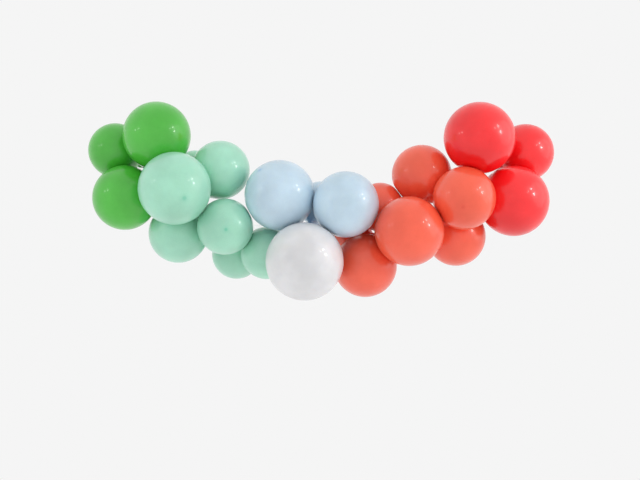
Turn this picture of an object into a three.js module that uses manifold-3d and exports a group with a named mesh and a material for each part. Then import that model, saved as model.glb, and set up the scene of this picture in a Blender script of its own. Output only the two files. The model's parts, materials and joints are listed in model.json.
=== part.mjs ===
// A balloon garland: two dozen knotted latex balloons in a row of colours, each slid by its neck
// into a keyhole of one clear decorating strip that hangs between two wall hooks.
// Millimetres. +X runs along the garland, +Y points to the wall, +Z is up.
// The origin is on the back face of the strip's left end tab, beside the hole for the left hook.

import * as THREE from 'three';
import { mergeVertices } from 'three/addons/utils/BufferGeometryUtils.js';
import Module from 'manifold-3d';

const manifold = await Module();
manifold.setup();

// The strip and its keyholes.
const HOOK_SPAN = 1300;
const STRIP_WIDTH = 16;
const STRIP_THICKNESS = 0.5;
const KEYHOLE_PITCH = 28;
const ROUND_RADIUS = 4;
const ROUND_POINTS = 6;
const SLOT_WIDTH = 2.6;
const SLOT_LENGTH = 5;

// The neck, knot and rolled mouth that every balloon has.
const NECK_SIDES = 5;
const NECK_RADIUS = 3.5;
const GRIPPED_RADIUS = 1;
const GRIPPED_LENGTH = 1.5;
const LEAD = 6;
const TIP_GAP = 9;
const KNOT_RADIUS = 4.6;
const KNOT_LENGTH = 6;
const MOUTH_RADIUS = 5.5;
const MOUTH_LENGTH = 7;

// Balloons press against each other: flat contact faces, rounded at their edges, with a small gap.
const CONTACT_GAP = 0.3;
const CONTACT_ROUNDING = 0.06;
const CONTACT_REACH = 40;
const FACET_DETAIL = 2;
const FACET_SWELL = 1.01;

// Corners closer than this are one corner.
const MERGE_DISTANCE = 0.01;

const COLOURS = {
  green: 0x4cbf41,
  mint: 0xa3e6d1,
  blue: 0xbcd7ea,
  white: 0xe6e4ea,
  coral: 0xf2765a,
  red: 0xe8141f,
};

// Positions are measured from the middle between the hooks, the wall and the height of the hooks.
const HOOK_X = HOOK_SPAN / 2;
const TAB = KEYHOLE_PITCH;

// The strip's way from the left hook forwards, along the sagging row and back to the right hook.
const STRIP_ROUTE = [
  [-HOOK_X - TAB, 0, 0],
  [-HOOK_X, 0, 0],
  [-HOOK_X + TAB / 2, 0, 0],
  [-HOOK_X + TAB, 0, 0],
  [-612, -3, 0],
  [-604, -15, 0],
  [-601, -40, 0],
  [-590, -110, 0],
  [-520, -210, -35],
  [-420, -175, -75],
  [-335, -175, -180],
  [-225, -160, -200],
  [-85, -200, -185],
  [-5, -260, -205],
  [125, -195, -215],
  [215, -170, -225],
  [325, -215, -170],
  [450, -205, -90],
  [545, -185, -15],
  [590, -145, 5],
  [598, -70, 0],
  [601, -40, 0],
  [604, -15, 0],
  [612, -3, 0],
  [HOOK_X - TAB, 0, 0],
  [HOOK_X - TAB / 2, 0, 0],
  [HOOK_X, 0, 0],
  [HOOK_X + TAB, 0, 0],
];

// Each balloon's diameter, its centre, and the keyhole that holds its neck, counted from the left.
const BALLOONS = [
  { name: 'green_balloon_1', colour: 'green', across: 180, centre: [-680, -130, 55], keyhole: 5 },
  { name: 'green_balloon_2', colour: 'green', across: 220, centre: [-530, -235, 95], keyhole: 10 },
  { name: 'green_balloon_3', colour: 'green', across: 210, centre: [-635, -220, -105], keyhole: 9 },
  { name: 'mint_balloon_1', colour: 'mint', across: 230, centre: [-460, -340, -80], keyhole: 11 },
  { name: 'mint_balloon_2', colour: 'mint', across: 145, centre: [-420, -95, -15], keyhole: 15 },
  { name: 'mint_balloon_3', colour: 'mint', across: 190, centre: [-325, -215, -15], keyhole: 16 },
  { name: 'mint_balloon_4', colour: 'mint', across: 195, centre: [-465, -185, -220], keyhole: 18 },
  { name: 'mint_balloon_5', colour: 'mint', across: 180, centre: [-305, -280, -200], keyhole: 20 },
  { name: 'mint_balloon_6', colour: 'mint', across: 165, centre: [-280, -100, -290], keyhole: 23 },
  { name: 'mint_balloon_7', colour: 'mint', across: 170, centre: [-175, -215, -285], keyhole: 26 },
  { name: 'blue_balloon_1', colour: 'blue', across: 225, centre: [-130, -290, -100], keyhole: 30 },
  { name: 'blue_balloon_2', colour: 'blue', across: 150, centre: [0, -175, -125], keyhole: 31 },
  { name: 'white_balloon', colour: 'white', across: 245, centre: [-50, -360, -310], keyhole: 33 },
  { name: 'blue_balloon_3', colour: 'blue', across: 210, centre: [80, -325, -130], keyhole: 35 },
  { name: 'coral_balloon_1', colour: 'coral', across: 130, centre: [95, -130, -210], keyhole: 40 },
  { name: 'coral_balloon_2', colour: 'coral', across: 205, centre: [145, -230, -325], keyhole: 41 },
  { name: 'coral_balloon_3', colour: 'coral', across: 160, centre: [195, -190, -135], keyhole: 44 },
  { name: 'coral_balloon_4', colour: 'coral', across: 220, centre: [280, -335, -215], keyhole: 46 },
  { name: 'coral_balloon_5', colour: 'coral', across: 195, centre: [330, -205, -30], keyhole: 49 },
  { name: 'coral_balloon_6', colour: 'coral', across: 195, centre: [445, -170, -230], keyhole: 50 },
  { name: 'coral_balloon_7', colour: 'coral', across: 200, centre: [455, -320, -110], keyhole: 52 },
  { name: 'red_balloon_1', colour: 'red', across: 230, centre: [510, -270, 85], keyhole: 57 },
  { name: 'red_balloon_2', colour: 'red', across: 230, centre: [630, -205, -115], keyhole: 58 },
  { name: 'red_balloon_3', colour: 'red', across: 190, centre: [685, -100, 50], keyhole: 61 },
];

const vector = (values) => new THREE.Vector3(...values);

const stripCurve = new THREE.CatmullRomCurve3(STRIP_ROUTE.map(vector));
stripCurve.arcLengthDivisions = 2000;
const stripLength = stripCurve.getLength();
const keyholeCount = Math.floor(stripLength / KEYHOLE_PITCH);
const pitch = stripLength / keyholeCount;

// The strip stands on edge all the way, its back face on the route.
function stripFrame(distance) {
  const part = THREE.MathUtils.clamp(distance / stripLength, 0, 1);
  const along = stripCurve.getTangentAt(part);
  const up = new THREE.Vector3(0, 0, 1).addScaledVector(along, -along.z).normalize();
  const front = along.clone().cross(up);
  return { point: stripCurve.getPointAt(part), up, front };
}

// Keyholes point left and right by turns: the round part lies on one side, the slot on the other.
function keyholeSide(index) {
  return index % 2 === 0 ? 1 : -1;
}

function keyholeMiddle(index) {
  return (index + 0.5) * pitch;
}

function slotSeat(index) {
  return keyholeMiddle(index) + keyholeSide(index) * (ROUND_RADIUS + SLOT_LENGTH / 2 - SLOT_WIDTH / 2);
}

function keyhole(index) {
  const side = keyholeSide(index);
  const round = keyholeMiddle(index) - (side * SLOT_LENGTH) / 2;
  const mouth = Math.asin(SLOT_WIDTH / 2 / ROUND_RADIUS);
  const points = [];
  for (let i = 0; i < ROUND_POINTS; i++) {
    const angle = mouth + ((2 * Math.PI - 2 * mouth) * i) / (ROUND_POINTS - 1);
    const x = round + side * ROUND_RADIUS * Math.cos(angle);
    points.push(new THREE.Vector2(x, ROUND_RADIUS * Math.sin(angle)));
  }
  const end = round + side * (ROUND_RADIUS + SLOT_LENGTH);
  points.push(new THREE.Vector2(end, -SLOT_WIDTH / 2));
  points.push(new THREE.Vector2(end, SLOT_WIDTH / 2));
  return new THREE.Path(points);
}

// Moves every vertex, and leaves only merged positions.
function reshape(geometry, move) {
  geometry.deleteAttribute('normal');
  geometry.deleteAttribute('uv');
  const merged = mergeVertices(geometry, MERGE_DISTANCE);
  const position = merged.attributes.position;
  const point = new THREE.Vector3();
  for (let i = 0; i < position.count; i++) {
    point.fromBufferAttribute(position, i);
    move(point);
    position.setXYZ(i, point.x, point.y, point.z);
  }
  return merged;
}

// One length of flat strip with its keyhole, as loose triangles.
function stripCell(index) {
  const half = STRIP_WIDTH / 2;
  const xs = [index * pitch, keyholeMiddle(index), (index + 1) * pitch];
  const lower = xs.map((x) => new THREE.Vector2(x, -half));
  const upper = xs.map((x) => new THREE.Vector2(x, half)).reverse();
  const outline = new THREE.Shape([...lower, ...upper]);
  outline.holes.push(keyhole(index));
  return new THREE.ExtrudeGeometry(outline, { depth: STRIP_THICKNESS, bevelEnabled: false });
}

// All lengths in a row, without the walls where one length meets the next.
function flatStrip() {
  const corners = [];
  for (let index = 0; index < keyholeCount; index++) {
    const cell = stripCell(index).attributes.position.array;
    const inner = [index > 0 && index * pitch, index < keyholeCount - 1 && (index + 1) * pitch];
    for (let i = 0; i < cell.length; i += 9) {
      const across = (x) => x && [0, 3, 6].every((k) => Math.abs(cell[i + k] - x) < MERGE_DISTANCE);
      if (!inner.some(across)) {
        corners.push(...cell.slice(i, i + 9));
      }
    }
  }
  const geometry = new THREE.BufferGeometry();
  return geometry.setAttribute('position', new THREE.Float32BufferAttribute(corners, 3));
}

function stripGeometry() {
  return reshape(flatStrip(), (point) => {
    const frame = stripFrame(point.x);
    const { y, z } = point;
    point.copy(frame.point).addScaledVector(frame.up, y).addScaledVector(frame.front, z);
  });
}

// Where a balloon sits: its neck leaves the slot on the side of the strip that faces the balloon.
function seat(balloon) {
  const frame = stripFrame(slotSeat(balloon.keyhole));
  const slot = frame.point.clone().addScaledVector(frame.front, STRIP_THICKNESS / 2);
  const centre = vector(balloon.centre);
  const facing = centre.clone().sub(slot).dot(frame.front);
  const out = frame.front.clone().multiplyScalar(Math.sign(facing));
  const neck = slot.clone().addScaledVector(out, LEAD).sub(centre);
  const tip = neck.length() - TIP_GAP;
  return { slot, centre, out, up: frame.up, radius: balloon.across / 2, neck: neck.normalize(), tip };
}

// The plane in which two balloons meet, seen from the first: its normal and its distance.
function contact(one, other) {
  const normal = other.centre.clone().sub(one.centre);
  const apart = normal.length();
  const shift = (one.radius ** 2 - other.radius ** 2) / (2 * apart);
  return { normal: normal.normalize(), distance: apart / 2 + shift - CONTACT_GAP / 2 };
}

function contacts(one, seats) {
  const near = (other) => one.centre.distanceTo(other.centre) < one.radius + other.radius + CONTACT_REACH;
  return seats.filter((other) => other !== one && near(other)).map((other) => contact(one, other));
}

// The lesser of two values, with a rounded change from one to the other that never exceeds either.
function roundedLeast(a, b, rounding) {
  const overlap = Math.max(rounding - Math.abs(a - b), 0);
  return Math.min(a, b) - overlap ** 2 / (4 * rounding);
}

// How far the skin lies from the centre in one direction: a ball with a cone drawn to the neck.
function skinDistance(one, planes, direction) {
  const cone = Math.acos(Math.min(one.radius / one.tip, 1));
  const fromNeck = direction.angleTo(one.neck);
  let distance = (FACET_SWELL * one.radius) / Math.cos(Math.max(cone - fromNeck, 0));
  for (const plane of planes) {
    const towards = direction.dot(plane.normal);
    if (towards > 0) {
      distance = roundedLeast(distance, plane.distance / towards, CONTACT_ROUNDING * one.radius);
    }
  }
  return distance;
}

function bulbGeometry(one, seats) {
  const planes = contacts(one, seats);
  const ball = new THREE.IcosahedronGeometry(1, FACET_DETAIL);
  const pole = new THREE.Vector3().fromBufferAttribute(ball.attributes.position, 0).normalize();
  const turn = new THREE.Quaternion().setFromUnitVectors(pole, one.neck);
  return reshape(ball, (point) => {
    point.normalize().applyQuaternion(turn);
    point.multiplyScalar(skinDistance(one, planes, point)).add(one.centre);
  });
}

// From inside the bulb out of its tip, round to the slot, and straight on through the strip.
function neckCurve(one) {
  const inside = one.centre.clone().addScaledVector(one.neck, one.radius * 0.9);
  const tip = one.centre.clone().addScaledVector(one.neck, one.tip);
  const past = GRIPPED_LENGTH + KNOT_LENGTH + MOUTH_LENGTH;
  const path = new THREE.CurvePath();
  path.add(new THREE.LineCurve3(inside, tip));
  const pull = tip.clone().addScaledVector(one.neck, LEAD / 2);
  const lead = one.slot.clone().addScaledVector(one.out, LEAD);
  path.add(new THREE.CubicBezierCurve3(tip, pull, lead, one.slot));
  path.add(new THREE.LineCurve3(one.slot, one.slot.clone().addScaledVector(one.out, -past)));
  return path;
}

function neckGeometry(one) {
  const curve = neckCurve(one);
  const [toTip, toSlot, toEnd] = curve.getCurveLengths();
  const knot = toSlot + GRIPPED_LENGTH;
  const profile = [
    [0, 0],
    [NECK_RADIUS, toTip],
    [GRIPPED_RADIUS, toSlot - GRIPPED_LENGTH],
    [GRIPPED_RADIUS, knot],
    [KNOT_RADIUS, knot + KNOT_LENGTH * 0.4],
    [NECK_RADIUS * 0.7, knot + KNOT_LENGTH],
    [MOUTH_RADIUS, toEnd],
    [0, toEnd],
  ];
  const lathe = new THREE.LatheGeometry(profile.map((pair) => new THREE.Vector2(...pair)), NECK_SIDES);
  const side = one.neck.clone().cross(one.out);
  const across = side.lengthSq() > 1e-6 ? side.normalize() : one.up;
  return reshape(lathe, (point) => {
    const part = THREE.MathUtils.clamp(point.y / toEnd, 0, 1);
    const along = curve.getTangentAt(part);
    const other = across.clone().cross(along).normalize();
    const { x, z } = point;
    point.copy(curve.getPointAt(part)).addScaledVector(across, x).addScaledVector(other, z);
  });
}

function toSolid(geometry) {
  const vertProperties = new Float32Array(geometry.attributes.position.array);
  const triVerts = new Uint32Array(geometry.index.array);
  return new manifold.Manifold(new manifold.Mesh({ numProp: 3, vertProperties, triVerts }));
}

function toGeometry(solid) {
  const mesh = solid.getMesh();
  const geometry = new THREE.BufferGeometry();
  geometry.setAttribute('position', new THREE.BufferAttribute(mesh.vertProperties, 3));
  geometry.setIndex(new THREE.BufferAttribute(mesh.triVerts, 1));
  return geometry;
}

function balloonMesh(balloon, one, seats) {
  const solid = toSolid(bulbGeometry(one, seats)).add(toSolid(neckGeometry(one)));
  const material = new THREE.MeshStandardMaterial({
    color: COLOURS[balloon.colour],
    roughness: 0.3,
    metalness: 0,
    flatShading: true,
  });
  const mesh = new THREE.Mesh(toGeometry(solid), material);
  mesh.name = balloon.name;
  return mesh;
}

function stripMesh() {
  const material = new THREE.MeshStandardMaterial({
    color: 0xf0f2f3,
    roughness: 0.15,
    metalness: 0,
    transparent: true,
    opacity: 0.35,
  });
  const mesh = new THREE.Mesh(stripGeometry(), material);
  mesh.name = 'decorating_strip';
  return mesh;
}

const seats = BALLOONS.map(seat);
const garland = new THREE.Group();
garland.add(stripMesh());
BALLOONS.forEach((balloon, index) => garland.add(balloonMesh(balloon, seats[index], seats)));
garland.position.x = HOOK_X;

const part = new THREE.Group();
part.add(garland);

export default part;
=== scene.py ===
import json
import math

import bmesh
import bpy
import numpy as np
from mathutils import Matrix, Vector


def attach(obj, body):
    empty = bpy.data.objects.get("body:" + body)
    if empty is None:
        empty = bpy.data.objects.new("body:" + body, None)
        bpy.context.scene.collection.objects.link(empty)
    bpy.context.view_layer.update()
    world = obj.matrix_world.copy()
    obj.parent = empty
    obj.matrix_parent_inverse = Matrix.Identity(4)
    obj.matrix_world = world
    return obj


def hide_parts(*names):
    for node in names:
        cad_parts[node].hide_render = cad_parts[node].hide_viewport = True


# A balloon garland in metres: fine latex skins and a clear strip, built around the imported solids.

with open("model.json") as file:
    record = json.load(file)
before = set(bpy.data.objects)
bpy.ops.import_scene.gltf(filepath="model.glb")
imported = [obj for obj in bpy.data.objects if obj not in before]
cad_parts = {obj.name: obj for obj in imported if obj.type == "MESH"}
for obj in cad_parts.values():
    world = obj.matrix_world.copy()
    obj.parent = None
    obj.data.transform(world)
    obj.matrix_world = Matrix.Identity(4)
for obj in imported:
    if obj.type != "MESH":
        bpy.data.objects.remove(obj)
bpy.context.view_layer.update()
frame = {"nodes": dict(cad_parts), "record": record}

# The strip, its keyholes and its way between the hooks, as in the part's source.
STRIP_WIDTH = 0.016
STRIP_THICKNESS = 0.0005
KEYHOLE_PITCH = 0.028
ROUND_RADIUS = 0.004
SLOT_WIDTH = 0.0026
SLOT_LENGTH = 0.005
HOOKS = {mount["name"]: mount["pos_m"] for mount in frame["record"]["mounts"]}
HOOK_SPAN = HOOKS["hang_right"][0] - HOOKS["hang_left"][0]
MIDDLE = HOOK_SPAN / 2
STRIP_ROUTE = [
    (-MIDDLE - 0.028, 0, 0),
    (-MIDDLE, 0, 0),
    (-MIDDLE + 0.014, 0, 0),
    (-MIDDLE + 0.028, 0, 0),
    (-0.612, -0.003, 0),
    (-0.604, -0.015, 0),
    (-0.601, -0.040, 0),
    (-0.590, -0.110, 0),
    (-0.520, -0.210, -0.035),
    (-0.420, -0.175, -0.075),
    (-0.335, -0.175, -0.180),
    (-0.225, -0.160, -0.200),
    (-0.085, -0.200, -0.185),
    (-0.005, -0.260, -0.205),
    (0.125, -0.195, -0.215),
    (0.215, -0.170, -0.225),
    (0.325, -0.215, -0.170),
    (0.450, -0.205, -0.090),
    (0.545, -0.185, -0.015),
    (0.590, -0.145, 0.005),
    (0.598, -0.070, 0),
    (0.601, -0.040, 0),
    (0.604, -0.015, 0),
    (0.612, -0.003, 0),
    (MIDDLE - 0.028, 0, 0),
    (MIDDLE - 0.014, 0, 0),
    (MIDDLE, 0, 0),
    (MIDDLE + 0.028, 0, 0),
]

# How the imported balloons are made, so that the fine ones fill the same space.
FACET_SWELL = 1.01
LEAD = 0.006
TIP_GAP = 0.009
CONTACT_GAP = 0.0003
CONTACT_ROUNDING = 0.06
CONTACT_REACH = 0.04
FACING = 0.05
FAR_AWAY = 10.0

# How finely a balloon is meshed. The bulb's last rings crowd towards its tip.
BULB_AROUND = 128
BULB_RINGS = 88
TIP_RINGS = 10
TIP_RINGS_ANGLE = 0.16
TIP_RADIUS = 0.0052
NECK_AROUND = 64
NECK_RINGS = 56
BEND_STEPS = 40
TAIL_STEPS = 24
PROFILE_STEPS = 12

# Latex gathered into pleats where the bulb runs into the neck.
PLEATS = 9
PLEAT_DEPTH = 0.0016
PLEAT_ANGLE = 0.5
PLEAT_PHASE = 40
NECK_EASE = 0.004

# Parts of the neck, each as a height along its profile and a spread, in metres.
FOLDS = (-0.007, 0.005)
FOLD_DEPTH = 0.16
KNOT = (0.0044, 0.0022)
KNOT_LUMPS = 0.16
KNOT_TWIST = 500
KNOT_CREASES = 0.07
CREASE_TWIST = 900
MOUTH = (0.0135, 0.003)
MOUTH_FLATTENING = 0.25
NECK_RUN = 0.012
TAIL_START = 0.0005
TAIL_LENGTH = 0.016

# A neck's half-thickness along its way, in millimetres. Zero is the slot in the strip.
NECK_PROFILE = [
    (-11.0, 4.4),
    (-8.0, 3.5),
    (-5.0, 2.9),
    (-2.2, 1.7),
    (-0.8, 1.1),
    (0.8, 1.1),
    (1.6, 1.6),
    (2.4, 3.5),
    (4.0, 4.6),
    (5.8, 4.2),
    (7.0, 2.7),
    (7.8, 2.1),
    (9.5, 2.5),
    (11.5, 3.6),
    (12.8, 4.6),
    (13.3, 5.3),
    (13.9, 5.6),
    (14.4, 5.3),
    (14.5, 4.7),
    (13.8, 4.2),
    (11.8, 2.8),
    (9.6, 1.2),
    (9.0, 0.0),
]


def unit(vectors):
    return vectors / np.linalg.norm(vectors, axis=-1, keepdims=True)


def spline(points, steps=60):
    """A smooth curve through the points: a centripetal Catmull-Rom spline."""
    points = np.array(points, float)
    points = np.vstack([2 * points[0] - points[1], points, 2 * points[-1] - points[-2]])
    share = np.linspace(0, 1, steps, endpoint=False)[:, None]
    curve = []
    for a, b, c, d in zip(points, points[1:], points[2:], points[3:]):
        before, here, after = (math.sqrt(np.linalg.norm(q - p)) for p, q in ((a, b), (b, c), (c, d)))
        leave = here * ((b - a) / before - (c - a) / (before + here)) + (c - b)
        arrive = here * ((d - c) / after - (d - b) / (here + after)) + (c - b)
        curve.append(
            b
            + leave * share
            + (3 * (c - b) - 2 * leave - arrive) * share**2
            + (2 * (b - c) + leave + arrive) * share**3
        )
    return np.vstack([*curve, points[-2:-1]])


class Way:
    """A curve that can be asked for its point and direction at a distance along it."""

    def __init__(self, points):
        self.points = np.asarray(points, float)
        steps = np.linalg.norm(np.diff(self.points, axis=0), axis=1)
        self.distances = np.concatenate([[0], np.cumsum(steps)])
        self.length = self.distances[-1]
        self.directions = unit(np.gradient(self.points, self.distances, axis=0))

    def at(self, distance):
        return self._blend(self.points, distance)

    def towards(self, distance):
        return unit(self._blend(self.directions, distance))

    def _blend(self, values, distance):
        return np.stack([np.interp(distance, self.distances, column) for column in values.T], -1)


strip_way = Way(spline(np.array(STRIP_ROUTE) + (MIDDLE, 0, 0)))
keyhole_count = int(strip_way.length // KEYHOLE_PITCH)
pitch = strip_way.length / keyhole_count


def strip_frame(distance):
    """The strip stands on edge all the way, with its back face on the route."""
    along = strip_way.towards(distance)
    up = unit(np.array([0, 0, 1.0]) - along[..., 2:] * along)
    return strip_way.at(distance), up, np.cross(along, up)


def keyhole_side(index):
    """The slots point to the right and to the left in turn."""
    return 1 if index % 2 == 0 else -1


def slot_seat(index):
    """How far along the strip a neck sits, in the end of its keyhole's slot."""
    offset = ROUND_RADIUS + SLOT_LENGTH / 2 - SLOT_WIDTH / 2
    return (index + 0.5) * pitch + keyhole_side(index) * offset


def slot_point(index):
    """The middle of the strip's thickness in the slot that a neck sits in."""
    point, _, front = strip_frame(slot_seat(index))
    return point + front * STRIP_THICKNESS / 2


slot_points = [slot_point(index) for index in range(keyhole_count)]


def new_object(name, points, faces, slot, material, *nodes):
    """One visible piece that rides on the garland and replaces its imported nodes."""
    mesh = bpy.data.meshes.new(name)
    mesh.from_pydata(np.asarray(points).tolist(), [], faces)
    mesh.update()
    piece = bpy.data.objects.new(name, mesh)
    bpy.context.scene.collection.objects.link(piece)
    mesh.materials.append(material)
    mesh.shade_smooth()
    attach(piece, "root")
    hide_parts(*nodes)
    return piece


# ---- balloons ----


def node_points(name):
    mesh = frame["nodes"][name].data
    flat = np.empty(len(mesh.vertices) * 3)
    mesh.vertices.foreach_get("co", flat)
    return flat.reshape(-1, 3)


def ball_through(points):
    """The centre and radius of the ball that fits the points best."""
    rows = np.c_[2 * points, np.ones(len(points))]
    solved = np.linalg.lstsq(rows, (points**2).sum(1), rcond=None)[0]
    return solved[:3], math.sqrt(max(solved[3] + solved[:3] @ solved[:3], 0))


def bulb_of(points, tries=400, near=0.0002):
    """The ball that most corners of a packed balloon lie on."""
    draw = np.random.default_rng(1)
    best = np.zeros(len(points), bool)
    for _ in range(tries):
        centre, radius = ball_through(points[draw.choice(len(points), 4, replace=False)])
        on = abs(np.linalg.norm(points - centre, axis=1) - radius) < near
        if on.sum() > best.sum():
            best = on
    return ball_through(points[best])


class Balloon:
    """Where one balloon sits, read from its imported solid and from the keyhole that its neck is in."""

    def __init__(self, name):
        self.name = name
        points = node_points(name)
        self.centre, swollen = bulb_of(points)
        self.radius = swollen / FACET_SWELL
        nearest = [np.linalg.norm(points - seat, axis=1).min() for seat in slot_points]
        index = int(np.argmin(nearest))
        _, _, front = strip_frame(slot_seat(index))
        self.slot = slot_points[index]
        self.out = front * np.sign((self.centre - self.slot) @ front)
        lead = self.slot + self.out * LEAD - self.centre
        self.tip = np.linalg.norm(lead) - TIP_GAP
        self.neck = lead / np.linalg.norm(lead)
        side = np.cross(self.neck, self.out)
        self.across = unit(side) if np.linalg.norm(side) > 1e-3 else unit(np.cross(self.neck, [0, 0, 1.0]))
        self.other = np.cross(self.neck, self.across)

    def contact(self, other):
        """The plane where two balloons meet: its normal and its distance from this one's centre."""
        normal = other.centre - self.centre
        apart = np.linalg.norm(normal)
        shift = (self.radius**2 - other.radius**2) / (2 * apart)
        return normal / apart, apart / 2 + shift - CONTACT_GAP / 2

    def contacts(self, balloons):
        def near(other):
            apart = np.linalg.norm(other.centre - self.centre)
            return apart < self.radius + other.radius + CONTACT_REACH

        return [self.contact(other) for other in balloons if other is not self and near(other)]


def rounded_least(a, b, rounding):
    """The lesser of two values, with a rounded change that never exceeds either."""
    overlap = np.maximum(rounding - abs(a - b), 0)
    return np.minimum(a, b) - overlap**2 / (4 * rounding)


def pleats(one, turn):
    """0 on the ridges and 1 in the creases, set off a little from balloon to balloon."""
    return (1 - np.cos(PLEATS * turn + one.centre[0] * PLEAT_PHASE)) / 2


def skin_distance(one, planes, from_neck, turn, directions):
    """How far the skin lies from the centre: a ball drawn out to the neck and pressed by its neighbours."""
    cone = math.acos(min(one.radius / one.tip, 1))
    excess = cone - from_neck
    drawn = (excess + np.sqrt(excess**2 + NECK_EASE)) / 2
    distance = one.radius / np.cos(drawn)
    gather = np.clip(1 - from_neck / PLEAT_ANGLE, 0, 1) ** 3
    distance = distance - PLEAT_DEPTH * gather * pleats(one, turn)
    for normal, away in planes:
        towards = directions @ normal
        reach = np.where(towards > FACING, away / np.maximum(towards, FACING), FAR_AWAY)
        distance = rounded_least(distance, reach, CONTACT_ROUNDING * one.radius)
    return distance


def bulb_rings(one, planes):
    """Rings of points from the crown to the tip, and the one point at the crown."""
    last = math.asin(TIP_RADIUS / one.tip)
    wide = np.linspace(math.pi, TIP_RINGS_ANGLE, BULB_RINGS)[1:]
    from_neck = np.concatenate([wide, np.geomspace(TIP_RINGS_ANGLE, last, TIP_RINGS + 1)[1:]])
    turn = np.linspace(0, 2 * math.pi, BULB_AROUND, endpoint=False)
    angle, around = np.meshgrid(np.append(from_neck, math.pi), turn, indexing="ij")
    sideways = np.cos(around)[..., None] * one.across + np.sin(around)[..., None] * one.other
    directions = np.cos(angle)[..., None] * one.neck + np.sin(angle)[..., None] * sideways
    distance = skin_distance(one, planes, angle, around, directions)
    points = one.centre + directions * distance[..., None]
    return points[:-1], points[-1, 0], from_neck


def neck_way(one):
    """The neck's bent way from the tip of the bulb, on through the slot, and its length to the slot."""
    tip = one.centre + one.neck * one.tip
    pull = tip + one.neck * LEAD / 2
    lead = one.slot + one.out * LEAD
    share = np.linspace(0, 1, BEND_STEPS)[:, None]
    bend = (
        (1 - share) ** 3 * tip
        + 3 * (1 - share) ** 2 * share * pull
        + 3 * (1 - share) * share**2 * lead
        + share**3 * one.slot
    )
    tail = one.slot - one.out * np.linspace(TAIL_START, TAIL_LENGTH, TAIL_STEPS)[:, None]
    return Way(np.vstack([bend, tail])), Way(bend).length


def swell(height, place):
    middle, spread = place
    return math.exp(-(((height - middle) / spread) ** 2))


def neck_ring(one, way, to_slot, height, thick, turn):
    """One ring of the neck, with its folds, its lumpy knot and its flattened mouth."""
    distance = height + to_slot
    other = np.cross(way.towards(distance), one.across)
    twist = KNOT_LUMPS * np.sin(2 * turn + KNOT_TWIST * height)
    creases = KNOT_CREASES * np.sin(5 * turn - CREASE_TWIST * height)
    lumps = 1 + swell(height, KNOT) * (twist + creases)
    lumps = lumps - FOLD_DEPTH * swell(height, FOLDS) * pleats(one, turn)
    flat = 1 - MOUTH_FLATTENING * swell(height, MOUTH)
    wide = np.cos(turn)[:, None] * one.across + flat * np.sin(turn)[:, None] * other
    return way.at(distance) + wide * (thick * lumps)[:, None]


def neck_rings(one):
    """Rings from the tip of the bulb through the slot to the knot and the rolled mouth."""
    way, to_slot = neck_way(one)
    profile = np.array(NECK_PROFILE) * 0.001
    profile[:3, 0] *= to_slot / NECK_RUN
    outline = Way(spline(profile, PROFILE_STEPS))
    drawn = outline.at(np.linspace(0, outline.length, NECK_RINGS))
    turn = np.linspace(0, 2 * math.pi, NECK_AROUND, endpoint=False)
    return np.array([neck_ring(one, way, to_slot, height, thick, turn) for height, thick in drawn])


def ring_faces(first, second, count):
    """Joins two rings of points, each given by its first point's number."""
    return [
        (first + i, first + (i + 1) % count, second + (i + 1) % count, second + i) for i in range(count)
    ]


def halving_faces(first, second, count):
    """Joins a ring of 2 x count points to a ring of count points."""
    faces = []
    for i in range(count):
        a, b, c = (first + (2 * i + k) % (2 * count) for k in range(3))
        d, e = second + i, second + (i + 1) % count
        faces += [(a, b, d), (b, c, e), (b, e, d)]
    return faces


# How strongly a crown shows its thicker spot. Most balloons are blown too full to show one.
CROWN_MARKS = {
    "blue_balloon_1": 1.0,
    "mint_balloon_1": 0.8,
    "mint_balloon_4": 0.6,
    "mint_balloon_5": 0.8,
    "coral_balloon_7": 0.6,
}
FAINT_CROWN = 0.15
CROWN_SPOT = 0.0035
CROWN_HALO = 0.012
HALO_SHARE = 0.35
NECK_TINT_ANGLE = 0.75
NECK_TINT = 0.9


def latex_thickness(one, rings, from_neck, neck_count):
    """How thick the skin is, from 0 on the bulb to 1 at a marked crown, the neck and the knot."""
    from_crown = (math.pi - from_neck) * one.radius
    spot = np.exp(-((from_crown / CROWN_SPOT) ** 2))
    crown = spot + HALO_SHARE * np.exp(-((from_crown / CROWN_HALO) ** 2))
    crown = crown * CROWN_MARKS.get(one.name, FAINT_CROWN)
    towards_neck = np.clip(1 - from_neck / NECK_TINT_ANGLE, 0, 1) ** 2
    bulb = np.repeat(np.clip(crown + NECK_TINT * towards_neck, 0, 1), rings.shape[1])
    return np.concatenate([bulb[:1], bulb, np.ones(neck_count * NECK_AROUND)])


def make_balloon(one, balloons, slot, material):
    """One closed skin from the crown to the rolled mouth."""
    rings, crown, from_neck = bulb_rings(one, one.contacts(balloons))
    neck = neck_rings(one)
    points = np.vstack([[crown], rings.reshape(-1, 3), neck[:-1].reshape(-1, 3), [neck[-1].mean(0)]])
    faces = [(0, 1 + (i + 1) % BULB_AROUND, 1 + i) for i in range(BULB_AROUND)]
    start = 1
    for _ in range(len(rings) - 1):
        faces += ring_faces(start, start + BULB_AROUND, BULB_AROUND)
        start += BULB_AROUND
    faces += halving_faces(start, start + BULB_AROUND, NECK_AROUND)
    start += BULB_AROUND
    for _ in range(len(neck) - 2):
        faces += ring_faces(start, start + NECK_AROUND, NECK_AROUND)
        start += NECK_AROUND
    end = len(points) - 1
    faces += [(start + i, start + (i + 1) % NECK_AROUND, end) for i in range(NECK_AROUND)]
    piece = new_object(one.name + "_skin", points, faces, slot, material, one.name)
    thickness = latex_thickness(one, rings, from_neck, len(neck) - 1)
    layer = piece.data.attributes.new("latex_thickness", "FLOAT", "POINT")
    layer.data.foreach_set("value", np.append(thickness, 1.0).astype(np.float32))
    return piece


# ---- materials ----


def node_material(name):
    material = bpy.data.materials.new(name)
    material.use_nodes = True
    return material, material.node_tree.nodes, material.node_tree.links


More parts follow.
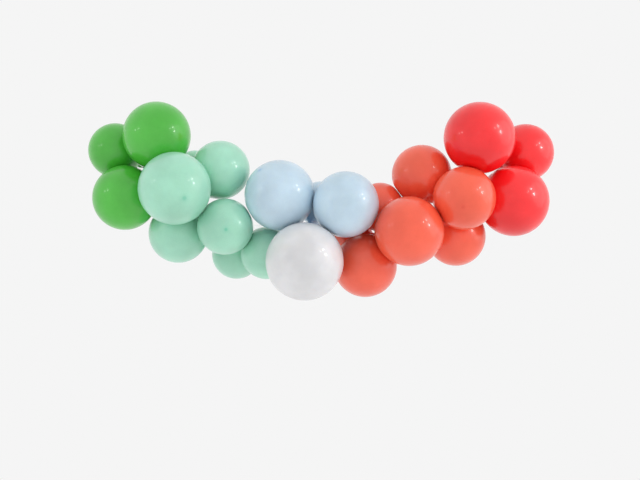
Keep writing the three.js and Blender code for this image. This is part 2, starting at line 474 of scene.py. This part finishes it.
# Noise, as features a metre and finer layers.
LATEX_CLOUDS = (9, 4)
LATEX_SMEARS = (30, 4)
LATEX_PORES = (260, 3)
LATEX_GRAIN = (420, 2)
PLASTIC_HAZE = (60, 4)
PLASTIC_SMEARS = (150, 3)
PLASTIC_GRAIN = (700, 2)

# Relief, as strength and depth in metres.
LATEX_RELIEF = (0.06, 0.001)
PLASTIC_RELIEF = (0.1, 0.0005)

# How far the clouds in the latex depart from its colour.
CLOUD_LIGHTER = 1.06
CLOUD_LIFT = 0.012
CLOUD_DARKER = 0.9


def noise(nodes, links, where, scale, detail=3.0, roughness=0.5):
    """Adds noise and returns its value."""
    node = nodes.new("ShaderNodeTexNoise")
    node.inputs["Scale"].default_value = scale
    node.inputs["Detail"].default_value = detail
    node.inputs["Roughness"].default_value = roughness
    links.new(where, node.inputs["Vector"])
    return node.outputs["Fac"]


def ranged(nodes, links, value, low, high, to_low, to_high):
    """Moves a value from one range to another."""
    node = nodes.new("ShaderNodeMapRange")
    node.inputs["From Min"].default_value = low
    node.inputs["From Max"].default_value = high
    node.inputs["To Min"].default_value = to_low
    node.inputs["To Max"].default_value = to_high
    links.new(value, node.inputs["Value"])
    return node.outputs["Result"]


def mixed(nodes, links, share, first, second):
    """A mix of two colours, each a plain one or the output of a node."""
    node = nodes.new("ShaderNodeMix")
    node.data_type = "RGBA"
    links.new(share, node.inputs["Factor"])
    for socket, colour in ((node.inputs[6], first), (node.inputs[7], second)):
        if isinstance(colour, tuple):
            socket.default_value = (*colour, 1)
        else:
            links.new(colour, socket)
    return node.outputs[2]


def bumped(nodes, links, shader, height, strength, distance):
    """Gives the shader fine relief."""
    node = nodes.new("ShaderNodeBump")
    node.inputs["Strength"].default_value = strength
    node.inputs["Distance"].default_value = distance
    links.new(height, node.inputs["Height"])
    links.new(node.outputs["Normal"], shader.inputs["Normal"])


def latex(name, stretched, thick):
    """Blown-up latex: lighter where it is stretched thin, deeper at the crown, neck and knot."""
    material, nodes, links = node_material(name)
    shader = nodes["Principled BSDF"]
    where = nodes.new("ShaderNodeTexCoord").outputs["Object"]
    layer = nodes.new("ShaderNodeAttribute")
    layer.attribute_name = "latex_thickness"
    pale = tuple(min(c * CLOUD_LIGHTER + CLOUD_LIFT, 1) for c in stretched)
    deep = tuple(c * CLOUD_DARKER for c in stretched)
    cloud = ranged(nodes, links, noise(nodes, links, where, *LATEX_CLOUDS), 0.35, 0.65, 0, 1)
    body = mixed(nodes, links, cloud, deep, pale)
    grain = ranged(nodes, links, noise(nodes, links, where, *LATEX_GRAIN), 0.3, 0.7, 0, 0.12)
    body = mixed(nodes, links, grain, body, thick)
    body = mixed(nodes, links, layer.outputs["Fac"], body, thick)
    links.new(body, shader.inputs["Base Color"])
    rough = ranged(nodes, links, noise(nodes, links, where, *LATEX_SMEARS), 0.3, 0.7, 0.3, 0.4)
    links.new(rough, shader.inputs["Roughness"])
    bumped(nodes, links, shader, noise(nodes, links, where, *LATEX_PORES), *LATEX_RELIEF)
    shader.inputs["Subsurface Weight"].default_value = 0.25
    shader.inputs["Subsurface Radius"].default_value = (1.0, 0.8, 0.6)
    shader.inputs["Subsurface Scale"].default_value = 0.02
    shader.inputs["Coat Weight"].default_value = 0.5
    shader.inputs["Coat Roughness"].default_value = 0.09
    return material


def clear_plastic():
    """Thin clear plastic, a little hazy, with a fine grain."""
    material, nodes, links = node_material("clear_plastic_strip")
    shader = nodes["Principled BSDF"]
    where = nodes.new("ShaderNodeTexCoord").outputs["Object"]
    cloudy = noise(nodes, links, where, *PLASTIC_HAZE)
    haze = mixed(nodes, links, cloudy, (0.93, 0.95, 0.96), (0.99, 1.0, 1.0))
    links.new(haze, shader.inputs["Base Color"])
    rough = ranged(nodes, links, noise(nodes, links, where, *PLASTIC_SMEARS), 0.3, 0.7, 0.05, 0.16)
    links.new(rough, shader.inputs["Roughness"])
    bumped(nodes, links, shader, noise(nodes, links, where, *PLASTIC_GRAIN), *PLASTIC_RELIEF)
    shader.inputs["Transmission Weight"].default_value = 1.0
    shader.inputs["IOR"].default_value = 1.45
    return material


# ---- strip ----

# Each cell of the strip holds one keyhole. Its rings stand at these shares from the hole to the edge.
CELL_RINGS = (0.0, 0.06, 0.5, 1.0)
STEPS_PER_MARK = 4
SAME_PLACE = 1e-7
WELD_WITHIN = 1e-6
SHARP_EDGE = math.radians(30)


def ray_to_keyhole(angle):
    """How far the keyhole's edge is from the middle of its round part, towards the slot at angle 0."""
    across = abs(np.sin(angle))
    slot_end = ROUND_RADIUS + SLOT_LENGTH
    in_slot = np.minimum(
        SLOT_WIDTH / 2 / np.maximum(across, 1e-9),
        np.where(np.cos(angle) > 0, slot_end / np.maximum(np.cos(angle), 1e-9), 0),
    )
    return np.maximum(ROUND_RADIUS, in_slot)


def cell_grid(index):
    """Rings of flat points, (along, across), from the keyhole's edge to the edge of its length of strip."""
    side = keyhole_side(index)
    middle = (index + 0.5) * pitch
    centre = middle - side * SLOT_LENGTH / 2
    far = pitch / 2 + SLOT_LENGTH / 2
    near = pitch / 2 - SLOT_LENGTH / 2
    half = STRIP_WIDTH / 2
    corner = math.atan2(SLOT_WIDTH / 2, ROUND_RADIUS + SLOT_LENGTH)
    mouth = math.asin(SLOT_WIDTH / 2 / ROUND_RADIUS)
    marks = [0, corner, mouth, math.atan2(half, far), math.pi / 2, math.pi - math.atan2(half, near), math.pi]
    upper = np.concatenate([np.linspace(a, b, STEPS_PER_MARK + 1)[:-1] for a, b in zip(marks, marks[1:])])
    angle = np.concatenate([upper, 2 * math.pi - np.append(upper[1:], math.pi)[::-1]])
    cos, sin = np.cos(angle), np.sin(angle)
    to_hole = ray_to_keyhole(angle)
    along = np.where(cos > 0, far, near) / np.maximum(abs(cos), 1e-9)
    to_edge = np.minimum(along, half / np.maximum(abs(sin), 1e-9))
    rings = []
    for share in CELL_RINGS:
        reach = to_hole + (to_edge - to_hole) * share
        rings.append(np.stack([centre + side * reach * cos, reach * sin], 1))
    return np.array(rings)


def open_edges(ring, index):
    """Which of a cell's outline edges lie on the strip's own outline, not on the next cell."""
    ends = [(index + k) * pitch for k in (0, 1) if 0 < index + k < keyhole_count]
    following = np.roll(ring, -1, axis=0)
    joined = np.zeros(len(ring), bool)
    for end in ends:
        joined |= (abs(ring[:, 0] - end) < SAME_PLACE) & (abs(following[:, 0] - end) < SAME_PLACE)
    return ~joined


def weld(piece):
    """Joins the cells where they meet."""
    mesh = bmesh.new()
    mesh.from_mesh(piece.data)
    bmesh.ops.remove_doubles(mesh, verts=mesh.verts, dist=WELD_WITHIN)
    mesh.to_mesh(piece.data)
    mesh.free()


def turned(faces, reverse):
    return [face[::-1] for face in faces] if reverse else faces


def cell_points(rings):
    """The cell's rings on the strip's back face, then on its front face."""
    levels = []
    for level in (0.0, STRIP_THICKNESS):
        for ring in rings:
            place, up, front = strip_frame(ring[:, 0])
            levels.append(place + up * ring[:, 1:] + front * level)
    return np.vstack(levels)


def cell_faces(rings, index, base):
    """Back and front of one cell, the wall of its keyhole and its part of the strip's outer wall."""
    count = rings.shape[1]
    size = len(rings) * count
    rim = size - count
    flip = keyhole_side(index) < 0
    faces = []
    for low, outside in ((base, False), (base + size, True)):
        for k in range(len(rings) - 1):
            band = ring_faces(low + k * count, low + (k + 1) * count, count)
            faces += turned(band, outside != flip)
    faces += turned(ring_faces(base, base + size, count), not flip)
    walls = ring_faces(base + rim, base + size + rim, count)
    outer = [face for face, is_open in zip(walls, open_edges(rings[-1], index)) if is_open]
    return faces + turned(outer, flip)


def make_strip(material):
    points, faces = [], []
    for index in range(keyhole_count):
        rings = cell_grid(index)
        faces += cell_faces(rings, index, len(points))
        points.extend(cell_points(rings))
    piece = new_object("keyhole_strip", points, faces, "clear_plastic", material, "decorating_strip")
    weld(piece)
    piece.data.set_sharp_from_angle(angle=SHARP_EDGE)
    return piece


# ---- set and camera ----


def look_at(obj, target):
    direction = Vector(target) - obj.location
    obj.rotation_euler = direction.to_track_quat("-Z", "Y").to_euler()


def lamp(name, direction, distance, size, watts, target):
    """A round lamp aimed at the target, from a direction given as right, up and near."""
    data = bpy.data.lights.new(name, "AREA")
    data.shape = "DISK"
    data.size = size
    data.energy = watts
    obj = bpy.data.objects.new(name, data)
    bpy.context.scene.collection.objects.link(obj)
    right, up, near = Vector(direction).normalized()
    obj.location = Vector(target) + Vector((right, -near, up)) * distance
    look_at(obj, target)


# The camera is level and looks straight at the wall. Its lens is in millimetres.
CAMERA_FROM_WALL = 4.215
CAMERA_BELOW_HOOKS = 0.2427
CAMERA_LEFT_OF_MIDDLE = 0.0016
LENS = 69.2
SENSOR_WIDTH = 36
PALE = 0.913
FLOOR_RADIUS = 2.6
FLOOR_BELOW_HOOKS = 1.6
GARLAND_MIDDLE = (MIDDLE, -0.25, -0.12)


def make_camera():
    data = bpy.data.cameras.new("camera")
    data.lens = LENS
    data.sensor_width = SENSOR_WIDTH
    camera = bpy.data.objects.new("camera", data)
    bpy.context.scene.collection.objects.link(camera)
    camera.location = (MIDDLE - CAMERA_LEFT_OF_MIDDLE, -CAMERA_FROM_WALL, -CAMERA_BELOW_HOOKS)
    camera.rotation_euler = (math.pi / 2, 0, 0)
    bpy.context.scene.camera = camera


# Each lamp's direction from the garland (right, up, near), distance, width and power.
LAMPS = [
    ("window_low", (0.885, 0.25, 0.394), 4, 0.42, 12),
    ("window_high", (0.787, 0.469, 0.401), 4, 0.36, 8),
    ("window_near", (0.696, 0.41, 0.59), 4, 0.24, 3),
    ("side_glow", (0.93, 0.2, 0.1), 3, 2.6, 12),
    ("left_lamp", (-0.836, 0.307, 0.455), 4, 0.3, 1.8),
    ("left_lamp_far", (-0.921, 0.242, 0.306), 4, 0.3, 1.2),
    ("front_lamp", (-0.06, 0.238, 0.97), 4.5, 0.1, 0.4),
]


def make_set():
    world = bpy.data.worlds.new("pale_studio")
    bpy.context.scene.world = world
    world.use_nodes = True
    background = world.node_tree.nodes["Background"]
    background.inputs["Color"].default_value = (PALE, PALE, PALE, 1)
    bpy.context.scene.view_settings.view_transform = "Standard"
    for row in LAMPS:
        lamp(*row, GARLAND_MIDDLE)
    bpy.ops.mesh.primitive_circle_add(
        vertices=96, radius=FLOOR_RADIUS, fill_type="NGON", location=(MIDDLE, 0, -FLOOR_BELOW_HOOKS)
    )
    floor = bpy.context.object
    floor.name = "pale_floor"
    material, nodes, _ = node_material("pale_floor")
    nodes["Principled BSDF"].inputs["Base Color"].default_value = (PALE, PALE, PALE, 1)
    nodes["Principled BSDF"].inputs["Roughness"].default_value = 0.9
    floor.data.materials.append(material)


# Each latex where it is stretched thin, and where it is thick.
LATEX_COLOURS = {
    "green_latex": ((0.067, 0.50, 0.035), (0.012, 0.30, 0.008)),
    "mint_latex": ((0.385, 0.744, 0.564), (0.08, 0.52, 0.34)),
    "blue_latex": ((0.557, 0.706, 0.808), (0.22, 0.45, 0.74)),
    "white_latex": ((0.744, 0.744, 0.76), (0.64, 0.63, 0.66)),
    "coral_latex": ((0.93, 0.112, 0.049), (0.72, 0.03, 0.01)),
    "red_latex": ((0.93, 0.001, 0.005), (0.56, 0.001, 0.002)),
}


def make_balloons():
    slots = {row["node"]: row["material_slot"] for row in frame["record"]["subparts"]}
    names = sorted(name for name, slot in slots.items() if slot in LATEX_COLOURS)
    materials = {slot: latex(slot, *colours) for slot, colours in LATEX_COLOURS.items()}
    balloons = [Balloon(name) for name in names]
    return [make_balloon(one, balloons, slots[one.name], materials[slots[one.name]]) for one in balloons]


make_camera()
make_set()
make_balloons()
make_strip(clear_plastic())
